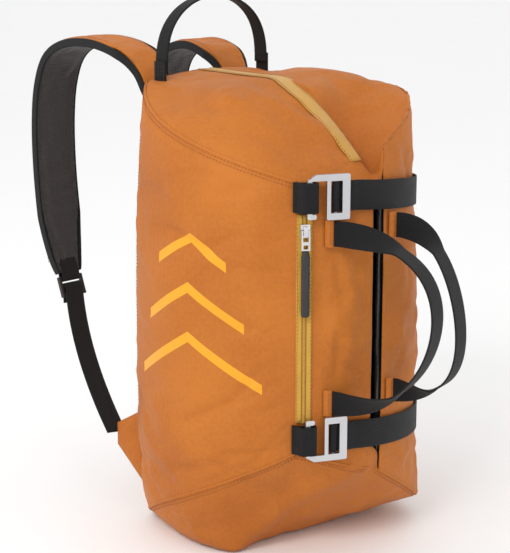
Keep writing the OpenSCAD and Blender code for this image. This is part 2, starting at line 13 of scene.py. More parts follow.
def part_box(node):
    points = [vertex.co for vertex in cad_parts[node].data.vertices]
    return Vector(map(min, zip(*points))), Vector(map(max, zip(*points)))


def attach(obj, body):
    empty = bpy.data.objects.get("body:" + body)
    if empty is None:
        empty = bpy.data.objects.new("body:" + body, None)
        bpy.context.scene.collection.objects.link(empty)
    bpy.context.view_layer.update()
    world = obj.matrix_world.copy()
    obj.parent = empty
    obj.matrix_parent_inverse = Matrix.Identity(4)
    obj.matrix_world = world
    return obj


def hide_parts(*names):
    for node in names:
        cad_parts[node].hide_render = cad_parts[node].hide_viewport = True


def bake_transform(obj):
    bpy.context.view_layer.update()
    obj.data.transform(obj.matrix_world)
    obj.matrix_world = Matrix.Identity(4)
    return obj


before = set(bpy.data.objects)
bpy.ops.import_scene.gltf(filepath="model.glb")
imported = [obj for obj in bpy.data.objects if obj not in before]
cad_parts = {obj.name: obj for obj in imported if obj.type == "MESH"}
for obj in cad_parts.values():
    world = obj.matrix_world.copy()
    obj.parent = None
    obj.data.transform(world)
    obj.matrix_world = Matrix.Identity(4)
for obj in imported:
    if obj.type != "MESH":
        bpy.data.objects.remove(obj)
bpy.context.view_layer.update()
X, Y, Z = Vector((1, 0, 0)), Vector((0, 1, 0)), Vector((0, 0, 1))


# ---- Studio ----
# A plain pale floor that runs up out of sight, one large soft lamp high on the
# left, a weaker one on the right, and a long lens at chest height.

view_turn = math.radians(-46)
view_rise = math.radians(13)
view_far = 1.7
view_field = 0.5946
right = Vector((math.cos(view_turn), math.sin(view_turn), 0))
back = Vector((math.sin(view_turn) * math.cos(view_rise),
               -math.cos(view_turn) * math.cos(view_rise), math.sin(view_rise)))
aim = Vector((0, 0, 0.2728)) - right * 0.0226
camera = bpy.data.objects.new("camera", bpy.data.cameras.new("camera"))
bpy.context.scene.collection.objects.link(camera)
camera.location = aim + back * view_far
camera.rotation_euler = back.to_track_quat("Z", "Y").to_euler()
camera.data.lens = 36 * view_far / view_field
bpy.context.scene.camera = camera


def lamp(name, place, size, watts):
    """A square area lamp that faces the bag's middle."""
    data = bpy.data.lights.new(name, "AREA")
    data.size = size
    data.energy = watts
    lit = bpy.data.objects.new(name, data)
    bpy.context.scene.collection.objects.link(lit)
    lit.location = place
    lit.rotation_euler = (Vector(place) - Vector((0, 0, 0.25))).to_track_quat("Z", "Y").to_euler()


lamp("key_lamp", (-2.3, -0.7, 2.1), 0.9, 30)
lamp("strap_lamp", (-1.6, 1.7, 1.0), 1.2, 4)
world = bpy.data.worlds.new("studio")
bpy.context.scene.world = world
world.use_nodes = True
world.node_tree.nodes["Background"].inputs["Color"].default_value = (1.0, 1.0, 1.0, 1)
world.node_tree.nodes["Background"].inputs["Strength"].default_value = 0.95
bpy.context.scene.view_settings.view_transform = "Standard"


class Number:
    """A shader socket that adds Math nodes when it is used in a sum."""

    def __init__(self, look, socket):
        self.look, self.socket = look, socket

    def maths(self, operation, *others):
        values = dict(enumerate((self,) + others))
        return self.look.add("ShaderNodeMath", {"operation": operation}, values)

    def __add__(self, other):
        return self.maths("ADD", other)

    def __sub__(self, other):
        return self.maths("SUBTRACT", other)

    def __mul__(self, other):
        return self.maths("MULTIPLY", other)

    def __truediv__(self, other):
        return self.maths("DIVIDE", other)

    def __rsub__(self, other):
        return (self * -1) + other

    __radd__ = __add__
    __rmul__ = __mul__


class Look:
    """A material, and the one method that adds a node to it."""

    def __init__(self, name, **constants):
        self.material = bpy.data.materials.new(name)
        self.material.use_nodes = True
        self.tree = self.material.node_tree
        self.shader = self.tree.nodes["Principled BSDF"]
        for socket, value in constants.items():
            self.shader.inputs[socket.replace("_", " ")].default_value = value

    def add(self, kind, settings=None, values=None, output=0):
        node = self.tree.nodes.new(kind)
        for name, value in (settings or {}).items():
            if name == "stops":
                ramp = node.color_ramp
                while len(ramp.elements) < len(value):
                    ramp.elements.new(1)
                for element, (place, shade) in zip(ramp.elements, value):
                    element.position = place
                    element.color = shade if len(shade) == 4 else (*shade, 1)
            else:
                setattr(node, name, value)
        for name, value in (values or {}).items():
            if isinstance(value, Number):
                self.tree.links.new(value.socket, node.inputs[name])
            else:
                node.inputs[name].default_value = value
        return Number(self, node.outputs[output])

    def place(self):
        return self.add("ShaderNodeTexCoord", output="Object")

    def woven(self):
        """Distances across and along the cloth, from the mesh's own cloth map."""
        spot = self.add("ShaderNodeUVMap", {"uv_map": "cloth"})
        return self.add("ShaderNodeSeparateXYZ", values={0: spot}), \
            self.add("ShaderNodeSeparateXYZ", values={0: spot}, output=1)

    def noise(self, scale, detail=3.0, where=None):
        values = {"Vector": where or self.place(), "Scale": scale, "Detail": detail}
        return self.add("ShaderNodeTexNoise", values=values)

    def ridges(self, distance, pitch, sharp=1.0):
        """0 to 1 and back, once every pitch."""
        wave = (distance * (2 * math.pi / pitch)).maths("SINE")
        return (wave * 0.5 + 0.5).maths("POWER", sharp)

    def mix(self, share, low, high, kind="RGBA", blend="MIX"):
        low_in, high_in, out = (6, 7, 2) if kind == "RGBA" else (2, 3, 0)
        settings = {"data_type": kind, "blend_type": blend} if kind == "RGBA" else {"data_type": kind}
        return self.add("ShaderNodeMix", settings, {0: share, low_in: low, high_in: high}, out)

    def finish(self, colour=None, roughness=None, height=None, depth=0.0002, metallic=None):
        if height is not None:
            values = {"Height": height, "Distance": depth, "Strength": 1.0}
            bump = self.add("ShaderNodeBump", values=values)
            self.tree.links.new(bump.socket, self.shader.inputs["Normal"])
        for name, value in (("Base Color", colour), ("Roughness", roughness), ("Metallic", metallic)):
            if value is not None:
                self.tree.links.new(value.socket, self.shader.inputs[name])
        return self.material


floor_look = Look("pale_floor", Roughness=0.6)
pale = floor_look.mix(floor_look.noise(3), (0.95, 0.95, 0.95, 1), (0.97, 0.97, 0.97, 1))
floor_look.finish(pale)
bpy.ops.mesh.primitive_plane_add(size=60)
floor = bpy.context.object
floor.name = "floor"
floor.data.materials.append(floor_look.material)


# ---- Shell ----
# Ripstop nylon, coated black inside: a flat back, two sides, two mouth panels and
# two end panels folded in like a parcel's, sewn edge to edge. A rope fills it out,
# so each panel bellies between its seams and creases where the seams hold it.

radius = -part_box("left_side_panel")[0][0]
back_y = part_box("back_panel")[1][1]
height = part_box("left_side_panel")[1][2]
pinch = 0.08
corner = 180 - math.degrees(math.acos(back_y / radius))
zip_seam = -39
right_seam = 42
mouth, gap = -3.5, math.degrees(math.asin(0.008 / radius))
lips = (mouth - gap, mouth + gap)
fold = mouth + gap * 0.8
back_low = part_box("left_side_panel")[0][2]
front_low = back_low + 0.119
mouth_low = 0.092
ear_low = 0.026
zip_drop, lip_drop, ear_drop = 0.08, 0.05, 0.008
fold_depth = 0.066
crown, arch = 0.006, 0.008
base_side, base_front = 0.116, 0.042


def mix(a, b, t):
    return a + (b - a) * t


def clamp(v, low=0.0, high=1.0):
    return max(low, min(high, v))


def soft(t):
    t = clamp(t)
    return t * t * (3 - 2 * t)


def around(a):
    return Vector((math.sin(math.radians(a)), -math.cos(math.radians(a)), 0))


def drum_radius(a, z):
    level = 2 * z / height - 1
    c = math.cos(math.radians(a))
    ear, waist = 0, 0
    if level < 0:
        ear = (pinch + 0.08) * max(0, math.cos(math.radians(a - 44))) ** 12
    else:
        waist = 6.75 * level ** 2 * (1 - min(1, level)) * (
            0.045 * max(0, math.cos(math.radians(a - 52))) ** 8
            + 0.02 * max(0, math.cos(math.radians(a + 136))) ** 4)
    r = radius * (1 - (pinch - ear) * abs(level) ** 4 - waist)
    return min(r, back_y / -c) if c < -0.1 else r


def drum(a, z, out=0.0):
    return around(a) * (drum_radius(a, z) + out) + Z * z


def rim_top(a):
    if abs(a) > corner:
        return height + arch * math.sin(math.pi / 2 * (abs(a) - corner) / (180 - corner))
    if a < zip_seam:
        return mix(height - zip_drop, height, (zip_seam - a) / (corner + zip_seam))
    if a < fold:
        return height - zip_drop - 0.014 * (a - zip_seam) / (fold - zip_seam)
    if a < right_seam:
        return mix(height - lip_drop, height - ear_drop, ((a - fold) / (right_seam - fold)) ** 0.7)
    return mix(height - ear_drop, height, ((a - right_seam) / (corner - right_seam)) ** 1.6)


def rim_low(a):
    if abs(a) > corner:
        return back_low
    if a < zip_seam:
        return mix(front_low, back_low, (zip_seam - a) / (corner + zip_seam))
    if a < fold:
        return mix(front_low, mouth_low, (a - zip_seam) / (fold - zip_seam))
    if a < right_seam:
        return mix(mouth_low, ear_low, (a - fold) / (right_seam - fold))
    return mix(ear_low, back_low, (a - right_seam) / (corner - right_seam))


def base_reach(a):
    c = math.cos(math.radians(a))
    return min(base_side, back_y / max(0.01, -c) - 0.006, base_front / max(0.01, c) + 0.01 * c * c)


def valley(a, t):
    if a < fold or a > 60:
        return 0
    return fold_depth * (60 - a) / (60 - fold) * math.sin(math.pi * min(1, t / 0.6)) ** 0.5


def top_point(a, t):
    z = rim_top(a)
    p = drum(a, z)
    rise = mix(z, height + crown, 1 - (1 - t) ** 1.7)
    return Vector((p.x * (1 - t), p.y * (1 - t), rise - valley(a, t)))


def low_point(a, t):
    z = rim_low(a)
    p = drum(a, z)
    foot = 1 - base_reach(a) / drum_radius(a, z)
    s = min(1, t / foot)
    return Vector((p.x * (1 - t), p.y * (1 - t), mix(z, 0, 0.72 * s + 0.28 * math.sin(math.pi / 2 * s))))


def new_piece(name, points, faces, look, cloth=None, smooth=True):
    """A mesh object, with cloth holding each point's place on the flat cloth."""
    mesh = bpy.data.meshes.new(name)
    mesh.from_pydata([tuple(p) for p in points], [], faces)
    mesh.update()
    if cloth:
        layer = mesh.uv_layers.new(name="cloth")
        for loop in mesh.loops:
            layer.data[loop.index].uv = cloth[loop.vertex_index]
    piece = bpy.data.objects.new(name, mesh)
    bpy.context.scene.collection.objects.link(piece)
    mesh.materials.append(look)
    for face in mesh.polygons:
        face.use_smooth = smooth
    return piece


def settle(piece):
    """Applies every modifier on a piece."""
    bpy.context.view_layer.objects.active = piece
    for modifier in list(piece.modifiers):
        bpy.ops.object.modifier_apply(modifier=modifier.name)


def ripstop(name, dark, light, printed=False):
    """Orange ripstop: fine plain weave, a thicker yarn every few millimetres, and
    cloudy patches of darker and lighter orange that vary at random over the cloth."""
    look = Look(name, Sheen_Weight=0.04, Sheen_Roughness=0.4, Specular_IOR_Level=0.22)
    u, v = look.woven()
    yarn = look.ridges(u, 0.0011) * look.ridges(v, 0.0011)
    grid = look.ridges(u, 0.0052, 14).maths("MAXIMUM", look.ridges(v, 0.0052, 14))
    cloud = look.noise(7.0, 5.0)
    fleck = look.noise(260.0, 2.0)
    shade = cloud * 0.75 + fleck * 0.25
    colour = look.add("ShaderNodeValToRGB", {"stops": [(0.3, dark), (0.62, light)]}, {0: shade})
    colour = look.mix(grid * 0.10, colour, (light[0] * 1.12, light[1] * 1.15, light[2] * 1.2, 1))
    rough = cloud * 0.16 + 0.5
    crease = look.noise(38.0, 4.0)
    if printed:
        ink = chevrons(look)
        colour = look.mix(ink, colour, (0.86, 0.36, 0.022, 1))
        rough = rough - ink * 0.2
    return look.finish(colour, rough, yarn * 0.16 + grid * 0.2 + crease * 1.5, 0.0005)


# The print is a plain stack of three peaks, in amber ink on the left side panel.
print_turn, print_z = -81.5, 0.262
peak_pitch, peak_stroke, peak_slope = 0.050, 0.0112, 0.62
peak_widths = (0.042, 0.060, 0.078)


def chevrons(look):
    """1 inside the printed peaks, 0 elsewhere."""
    u, v = look.woven()
    across = (u - math.radians(print_turn) * radius).maths("ABSOLUTE")
    edge = 0.0006
    ink = None
    for row, half in enumerate(peak_widths):
        tip = print_z + 0.078 - row * peak_pitch
        off = (v + across * peak_slope - tip).maths("ABSOLUTE")
        inside = ((peak_stroke / 2 - off) / edge).maths("MINIMUM", (half - across) / edge)
        inside = inside.maths("MAXIMUM", 0.0).maths("MINIMUM", 1.0)
        ink = inside if ink is None else ink.maths("MAXIMUM", inside)
    return ink


orange_dark, orange_light = (0.39, 0.108, 0.013), (0.52, 0.162, 0.022)
shell_cloth = ripstop("printed_ripstop", orange_dark, orange_light, printed=True)
orange = ripstop("ripstop", orange_dark, orange_light)

lining_look = Look("coated_lining", Roughness=0.42, Specular_IOR_Level=0.4)
lining = lining_look.finish(
    lining_look.mix(lining_look.noise(40), (0.006, 0.006, 0.007, 1), (0.016, 0.016, 0.017, 1)),
    height=lining_look.noise(120), depth=0.0006)

# Directions round the shell, with the seams and the mouth's edges among them.
step = 2.4
stops = [-180, -corner, zip_seam, lips[0], fold - 0.1, lips[1], right_seam, corner, 180]
turns = []
for low, high in zip(stops, stops[1:]):
    count = 1 if lips[0] <= low < lips[1] else max(2, round((high - low) / step))
    turns += [mix(low, high, i / count) for i in range(count)]
low_rings = [0.98, 0.8, 0.62]
foot_rings = [1 - i / 9 for i in range(10)]
wall_rows = 74
top_rings = [((i + 1) / 15) ** 1.1 for i in range(14)]

points, cloth, rows = [Vector((0, 0, 0))], [(0, 0)], []


def row_of(maker):
    """Adds one ring of shell points, and returns their numbers."""
    start = len(points)
    for a in turns:
        p, spot = maker(a)
        points.append(p)
        cloth.append(spot)
    return list(range(start, len(points)))


def low_t(a, share):
    return share * (1 - base_reach(a) / drum_radius(a, rim_low(a)))


for share in low_rings:
    rows.append(row_of(lambda a: (low_point(a, mix(low_t(a, 1), 1, share)),
                                  (math.radians(a) * radius, -share * 0.1))))
for share in foot_rings[:-1]:
    rows.append(row_of(lambda a: (low_point(a, low_t(a, share)),
                                  (math.radians(a) * radius, rim_low(a) - share * 0.12))))
wall_start = len(rows)
for i in range(wall_rows + 1):
    def wall_point(a, t=i / wall_rows):
        z = mix(rim_low(a), rim_top(a), t)
        shut = 1.5 * gap * soft((0.128 - z) / 0.02) if a == lips[0] else 0
        return drum(a + shut, z), (math.radians(a) * radius, z)
    rows.append(row_of(wall_point))
wall_end = len(rows) - 1
for t in top_rings:
    rows.append(row_of(lambda a: (top_point(a, t), (math.radians(a) * radius, rim_top(a) + t * 0.14))))
points.append(Vector((0, 0, height + crown)))
cloth.append((0, height + 0.14))

mouth_columns = (turns.index(lips[0]), turns.index(lips[0]) + 1)
faces = []
columns = len(turns)
for r in range(len(rows) - 1):
    for c in range(columns):
        if c in mouth_columns and wall_start <= r < wall_end:
            continue
        d = (c + 1) % columns
        faces.append((rows[r][c], rows[r][d], rows[r + 1][d], rows[r + 1][c]))
for c in range(columns):
    d = (c + 1) % columns
    faces.append((0, rows[0][d], rows[0][c]))
    faces.append((len(points) - 1, rows[-1][c], rows[-1][d]))
# The map is cut at the middle of the back, where it wraps round.
shell = new_piece("shell", points, faces, shell_cloth, cloth)
layer = shell.data.uv_layers["cloth"]
for face in shell.data.polygons:
    spots = [layer.data[i] for i in face.loop_indices]
    if max(s.uv.x for s in spots) - min(s.uv.x for s in spots) > radius * 3:
        for s in spots:
            if s.uv.x < 0:
                s.uv.x += 2 * math.pi * radius



# Lasting creases in the cloth: the line each follows, how far it fades out to each
# side, and how far it stands out (or sinks in, when less than zero).
def on_wall(*spots):
    return [drum(a, z) for a, z in spots]


def on_top(*spots):
    return [top_point(a, t) for a, t in spots]


def on_low(*spots):
    return [low_point(a, low_t(a, t)) for a, t in spots]


creases = [
    (on_wall((-25, 0.334), (-22.5, 0.313), (-21.2, 0.287), (-22.4, 0.244), (-23.5, 0.201), (-25.5, 0.19)),
     0.008, -0.0030),
    (on_wall((-20, 0.325), (-17, 0.290), (-18, 0.240), (-20, 0.200)), 0.014, 0.0025),
    (on_wall((-31, 0.300), (-28, 0.260), (-29, 0.215)), 0.010, -0.0020),
    (on_wall((-11, 0.350), (-14, 0.300), (-9, 0.270)), 0.010, -0.0022),
    (on_wall((-20, 0.215), (-14, 0.205), (-9, 0.190)), 0.009, -0.0028),
    (on_wall((-21, 0.236), (-13, 0.228), (-9, 0.240)), 0.010, 0.0022),
    (on_wall((8, 0.330), (16, 0.300), (14, 0.235), (9, 0.190)), 0.012, -0.0028),
    (on_wall((24, 0.310), (27, 0.275), (25, 0.230)), 0.008, -0.0030),
    (on_wall((30, 0.250), (32, 0.215), (28, 0.180)), 0.009, 0.0030),
    (on_wall((12, 0.430), (19, 0.405), (23, 0.375)), 0.007, -0.0035),
    (on_wall((4, 0.118), (14, 0.095), (26, 0.070)), 0.010, -0.0030),
    (on_wall((34, 0.100), (38, 0.070), (42, 0.035)), 0.009, 0.0030),
    (on_wall((-132, 0.110), (-118, 0.070), (-104, 0.050)), 0.012, -0.0035),
    (on_wall((-126, 0.170), (-110, 0.120), (-92, 0.085)), 0.014, 0.0030),
    (on_wall((-120, 0.430), (-112, 0.380), (-110, 0.320)), 0.016, -0.0030),
    (on_wall((-60, 0.350), (-74, 0.330), (-92, 0.345)), 0.014, -0.0026),
    (on_wall((-48, 0.230), (-62, 0.180), (-84, 0.150)), 0.014, -0.0024),
    (on_wall((-43, 0.160), (-56, 0.120), (-66, 0.112)), 0.010, 0.0024),
    (on_top((-100, 0.35), (-84, 0.28), (-72, 0.38)), 0.012, -0.0045),
    (on_top((-98, 0.52), (-80, 0.42), (-62, 0.46)), 0.014, 0.0040),
    (on_top((-76, 0.14), (-62, 0.22), (-44, 0.20)), 0.012, -0.0040),
    (on_top((-52, 0.10), (-38, 0.22), (-24, 0.24)), 0.010, -0.0035),
    (on_top((-60, 0.60), (-30, 0.45), (-18, 0.30)), 0.010, 0.0040),
    (on_top((-130, 0.30), (-112, 0.18), (-96, 0.12)), 0.014, -0.0035),
    (on_top((40, 0.45), (52, 0.30), (56, 0.12)), 0.016, -0.0040),
    (on_low((-71, 1.0), (-52, 0.62), (-30, 0.30), (-14, 0.06)), 0.022, 0.0075),
    (on_low((-95, 0.40), (-82, 0.55), (-66, 0.50)), 0.012, -0.0035),
    (on_low((-60, 0.14), (-46, 0.30), (-38, 0.55)), 0.012, -0.0030),
    (on_low((8, 0.20), (22, 0.45), (34, 0.30)), 0.014, -0.0040)]


def from_line(p, line):
    """Distance from a path, and how far along it the nearest place is, 0 to 1."""
    best, share = 9.0, 0.0
    for i, (a, b) in enumerate(zip(line, line[1:])):
        t = clamp((p - a).dot(b - a) / (b - a).length_squared)
        away = (p - a.lerp(b, t)).length
        if away < best:
            best, share = away, (i + t) / (len(line) - 1)
    return best, share


for v in shell.data.vertices:
    push = 0.0
    for line, fade, depth in creases:
        if (v.co - line[len(line) // 2]).length < 0.16:
            away, share = from_line(v.co, line)
            along = 0.35 + 0.65 * math.sin(math.pi * share) ** 0.5
            push += 1.7 * depth * math.exp(-2.4 * away / fade) * along
    if push and v.co.z > 0.002:
        centre = Vector((0, 0.02, clamp(v.co.z, 0.12, 0.36)))
        v.co += (v.co - centre).normalized() * push

hook_z = [(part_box(n)[0][2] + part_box(n)[1][2]) / 2 for n in ("upper_hook", "lower_hook")]
handle_turns = {"left": -25, "right": 5}
handle_ends = (0.349, 0.176)
handle_feet = [(a, z) for a in handle_turns.values() for z in handle_ends]
strap_sink = (0.020, 0.022)
strap_first, strap_last = -17.3, 58.0


def strap_height(k, a):
    return hook_z[k] - strap_sink[k] * clamp((a - strap_first) / (strap_last - strap_first))


def held(p):
    """How firmly something sewn or strapped holds the shell at a point, 0 to 1."""
    a = math.degrees(math.atan2(p.x, -p.y))
    if p.z < 0.003:
        return 1.0

    def arc(degrees):
        return math.radians(abs(a - degrees)) * radius

    hold = 0.0
    lines = [(zip_seam, 0.004, 0.012), (zip_seam + 3, 0.008, 0.012), (right_seam, 0.002, 0.010),
             (corner, 0.003, 0.012), (-corner, 0.003, 0.012),
             (lips[0], 0.003, 0.012), (lips[1], 0.003, 0.012)]
    for line, tight, fade in lines:
        hold = max(hold, 1 - soft((arc(line) - tight) / fade))
    for rim in (rim_top(a), rim_low(a)):
        near = abs(p.z - rim) + max(0, drum_radius(a, p.z) - math.hypot(p.x, p.y))
        hold = max(hold, 1 - soft((near - 0.002) / 0.012))
    for k in (0, 1):
        if -42 < a < strap_last + 3:
            hold = max(hold, 1 - soft((abs(p.z - strap_height(k, a)) - 0.017) / 0.012))
    for foot_a, foot_z in handle_feet:
        away = max(arc(foot_a) - 0.009, abs(p.z - foot_z) - 0.018)
        hold = max(hold, 1 - soft(away / 0.012))
    if abs(p.x) < 0.014 and p.z > height - 0.1:
        hold = max(hold, 0.9)
    return hold


def billow(piece, hold, growth, pressure, cap, frames=18, stiffness=9.0):
    """Blows a cloth piece out between the points that are held, in a cloth that is
    a little too large, so that it bellies and creases. No point moves past cap."""
    before = [v.co.copy() for v in piece.data.vertices]
    group = piece.vertex_groups.new(name="held")
    for v in piece.data.vertices:
        h = hold(v.co)
        if h > 0.001:
            group.add([v.index], h, "REPLACE")
    cloth_sim = piece.modifiers.new("cloth", "CLOTH")
    s = cloth_sim.settings
    s.vertex_group_mass = "held"
    s.shrink_min = -growth
    s.use_pressure = True
    s.uniform_pressure_force = pressure
    s.tension_stiffness = s.compression_stiffness = stiffness
    s.shear_stiffness = stiffness * 0.6
    s.bending_stiffness = 0.08
    s.quality = 6
    s.effector_weights.gravity = 0
    cloth_sim.collision_settings.use_collision = False
    scene = bpy.context.scene
    scene.frame_start, scene.frame_end = 1, frames
    cloth_sim.point_cache.frame_start, cloth_sim.point_cache.frame_end = 1, frames
    for f in range(1, frames + 1):
        scene.frame_set(f)
    bpy.context.view_layer.objects.active = piece
    bpy.ops.object.modifier_apply(modifier=cloth_sim.name)
    scene.frame_set(1)
    for v, old in zip(piece.data.vertices, before):
        move = v.co - old
        if move.length > cap:
            v.co = old + move * (cap / move.length)


billow(shell, held, 0.022, 3.0, 0.0085)
# No cloth goes below the floor that the bag stands on.
for v in shell.data.vertices:
    v.co.z = max(v.co.z, 0.0)
shell.data.materials.append(lining)
smooth_shell = shell.modifiers.new("rounding", "SUBSURF")
smooth_shell.levels = smooth_shell.render_levels = 1
thick = shell.modifiers.new("lining", "SOLIDIFY")
thick.thickness = 0.0012
thick.offset = -1
thick.material_offset = 1
thick.material_offset_rim = 0
settle(shell)
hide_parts("back_panel", "left_side_panel", "right_side_panel", "left_mouth_panel",
            "right_mouth_panel", "top_end_panel", "bottom_end_panel")
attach(shell, "bag")


# ---- Seams ----
# Each seam is lapped and sewn down with two rows of orange thread. The thread lies
# on the cloth, and the lap is a narrow double ply of the same ripstop.

shell_tree = BVHTree.FromObject(shell, bpy.context.evaluated_depsgraph_get())


def on_shell(p, lift=0.0):
    """The nearest place on the shell's outside, with its outward normal."""
    spot, normal, _, _ = shell_tree.find_nearest(p)
    if normal.dot(spot - Vector((0, 0.02, clamp(spot.z, 0.12, 0.36)))) < 0:
        normal = -normal
    return spot + normal * lift, normal


def even(path, pitch):
    """The same path, with points an even pitch apart."""
    lengths = [0.0]
    for p, q in zip(path, path[1:]):
        lengths.append(lengths[-1] + (q - p).length)
    count = max(2, round(lengths[-1] / pitch))
    out, k = [], 0
    for i in range(count + 1):
        want = lengths[-1] * i / count
        while k < len(path) - 2 and lengths[k + 1] < want:
            k += 1
        span = max(1e-9, lengths[k + 1] - lengths[k])
        out.append(path[k].lerp(path[k + 1], clamp((want - lengths[k]) / span)))
    return out


def section(wide, thick, crown=0.0, under=0.0, cells=6):
    """Points round a strap's cross-section: x across, y through it."""
    half, edge = wide / 2, thick / 2
    flat = [mix(-half + edge, half - edge, i / cells) for i in range(cells + 1)]
    swell = lambda x: 1 - (x / half) ** 2
    top = [(x, edge + crown * swell(x)) for x in flat]
    low = [(x, -edge - under * swell(x)) for x in reversed(flat)]
    turn = [(edge * math.cos(t), edge * math.sin(t)) for t in (0.8, 0, -0.8)]
    return top + [(half - edge + x, y) for x, y in turn] + low + [(edge - half - x, -y) for x, y in turn]


def band(name, stations, wide, thick, look, pitch=0.003, crown=0.0, under=0.0, cells=6, width=None):
    """A strap along stations of (point, side): side is the way across the strap."""
    path = even([st[0] for st in stations], pitch)
    lengths = [0.0]
    for st, nx in zip(stations, stations[1:]):
        lengths.append(lengths[-1] + (nx[0] - st[0]).length)
    points, cloth, faces, run, k = [], [], [], 0.0, 0
    for i, p in enumerate(path):
        want = lengths[-1] * i / (len(path) - 1)
        while k < len(stations) - 2 and lengths[k + 1] < want:
            k += 1
        share = clamp((want - lengths[k]) / max(1e-9, lengths[k + 1] - lengths[k]))
        side = stations[k][1].lerp(stations[k + 1][1], share)
        ahead = (path[min(i + 1, len(path) - 1)] - path[max(i - 1, 0)]).normalized()
        side = (side - ahead * side.dot(ahead)).normalized()
        up = ahead.cross(side)
        w = wide * (width(i / (len(path) - 1)) if width else 1)
        for x, y in section(w, thick, crown, under, cells):
            points.append(p + side * x + up * y)
            cloth.append((x, want))
    n = len(section(wide, thick, crown, under, cells))
    for i in range(len(path) - 1):
        for j in range(n):
            k2 = (j + 1) % n
            faces.append((i * n + j, i * n + k2, (i + 1) * n + k2, (i + 1) * n + j))
    faces.append(tuple(reversed(range(n))))
    faces.append(tuple(range((len(path) - 1) * n, len(path) * n)))
    return new_piece(name, points, faces, look, cloth)


def stitches(name, rows, look, long=0.0026, space=0.0012, thick=0.00032):
    """Rows of thread: each row is a list of points that the needle followed."""
    points, faces = [], []
    for row in rows:
        path = even(row, long + space)
        for p, q in zip(path, path[1:]):
            ahead = (q - p).normalized()
            side = ahead.cross(Z if abs(ahead.z) < 0.9 else X).normalized()
            up = side.cross(ahead)
            start = len(points)
            share = long / (long + space)
            for t, r in ((0.0, 0.3), (0.2, 1.0), (0.8, 1.0), (1.0, 0.3)):
                at = p.lerp(q, t * share)
                for k in range(6):
                    turn = k * math.pi / 3
                    points.append(at + (side * math.cos(turn) + up * math.sin(turn)) * thick * r)
            for i in range(3):
                for k in range(6):
                    j = (k + 1) % 6
                    a = start + i * 6
                    faces.append((a + k, a + j, a + 6 + j, a + 6 + k))
            faces.append(tuple(start + k for k in reversed(range(6))))
            faces.append(tuple(start + 18 + k for k in range(6)))
    return new_piece(name, points, faces, look)


thread_look = Look("orange_thread", Roughness=0.55)
orange_thread = thread_look.finish(
    thread_look.mix(thread_look.noise(90), (0.24, 0.065, 0.012, 1), (0.42, 0.13, 0.026, 1)))
black_thread_look = Look("black_thread", Roughness=0.5)
black_thread = black_thread_look.finish(
    black_thread_look.mix(black_thread_look.noise(90), (0.02, 0.02, 0.022, 1), (0.05, 0.05, 0.052, 1)))


def rim_path(rim, low, high, inset=0.0):
    return [drum(a, rim(a) + inset) for a in (mix(low, high, i / 60) for i in range(61))]


def wall_path(a, low=0.0, high=1.0):
    return [drum(a, mix(rim_low(a), rim_top(a), mix(low, high, i / 60))) for i in range(61)]


seam_paths = {
    "left_top_seam": rim_path(rim_top, -corner + 1, zip_seam),
    "left_bottom_seam": rim_path(rim_low, -corner + 1, zip_seam),
    "left_front_seam": wall_path(zip_seam),
    "right_front_seam": wall_path(right_seam),
    "right_top_seam": rim_path(rim_top, lips[1], corner - 1),
    "right_bottom_seam": rim_path(rim_low, lips[1], corner - 1),
    "left_mouth_bottom_seam": rim_path(rim_low, zip_seam, lips[0]),
    "left_back_seam": wall_path(-corner),
    "right_back_seam": wall_path(corner),
    "back_top_seam": rim_path(rim_top, corner, 180) + rim_path(rim_top, -180, -corner),
}
for name, path in seam_paths.items():
    stations, rows = [], [[], []]
    laid = even(path, 0.004)
    for i, p in enumerate(laid):
        ahead = (laid[min(i + 1, len(laid) - 1)] - laid[max(i - 1, 0)]).normalized()
        spot, normal = on_shell(p, 0.0003)
        side = normal.cross(ahead).normalized()
        stations.append((spot, side))
        for row, off in zip(rows, (-0.0030, -0.0062)):
            row.append(on_shell(p + side * off, 0.0004)[0])
    lap = band(name, stations, 0.0030, 0.0009, orange, pitch=0.004, cells=2)
    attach(lap, "bag")
    sewn = stitches(name + "_thread", rows, orange_thread)
    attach(sewn, "bag")


# ---- Mouth ----
# The lips are bound in black coated cloth, rolled over and shiny. The rolls hang
# inside the slit, a little wavy, and the straps hold the lips close together.

gloss_look = Look("coated_binding", Roughness=0.2, Specular_IOR_Level=0.6, Coat_Roughness=0.25)
gloss = gloss_look.finish(
    gloss_look.mix(gloss_look.noise(30), (0.008, 0.008, 0.009, 1), (0.03, 0.03, 0.032, 1)),
    gloss_look.noise(60) * 0.22 + 0.12, gloss_look.noise(55, 4.0), 0.0012)
for side_name, sign in (("left", -1), ("right", 1)):
    node = side_name + "_lip_binding"
    low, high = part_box(node)
    middle = (Vector(low) + Vector(high)) / 2
    roll = (high[0] - low[0]) / 2
    points, faces, cloth = [], [], []
    rings, sides = 90, 14
    for i in range(rings + 1):
        t = i / rings
        z = mix(low[2], high[2], t)
        end = min(1, math.sqrt(max(0, 1 - (abs(2 * t - 1) - 0.97) / 0.03)) if abs(2 * t - 1) > 0.97 else 1)
        sway = Vector((noise.noise(Vector((sign * 3, 0, z * 14))),
                       noise.noise(Vector((0, sign * 5, z * 11))), 0))
        for k in range(sides):
            turn = 2 * math.pi * k / sides
            dent = 1 - 0.16 * noise.noise(Vector((math.cos(turn) * 0.7, math.sin(turn) * 0.7, z * 34 + sign)))
            out = Vector((math.cos(turn), math.sin(turn), 0)) * roll * dent * (0.25 + 0.75 * end)
            points.append(Vector((middle.x, middle.y, z)) + sway * 0.0012 + out)
            cloth.append((turn * roll, z))
    for i in range(rings):
        for k in range(sides):
            j = (k + 1) % sides
            faces.append((i * sides + k, i * sides + j, (i + 1) * sides + j, (i + 1) * sides + k))
    faces.append(tuple(reversed(range(sides))))
    faces.append(tuple(range(rings * sides, (rings + 1) * sides)))
    piece = new_piece(side_name + "_lip_roll", points, faces, gloss, cloth)
    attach(piece, "bag")
    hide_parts(node)


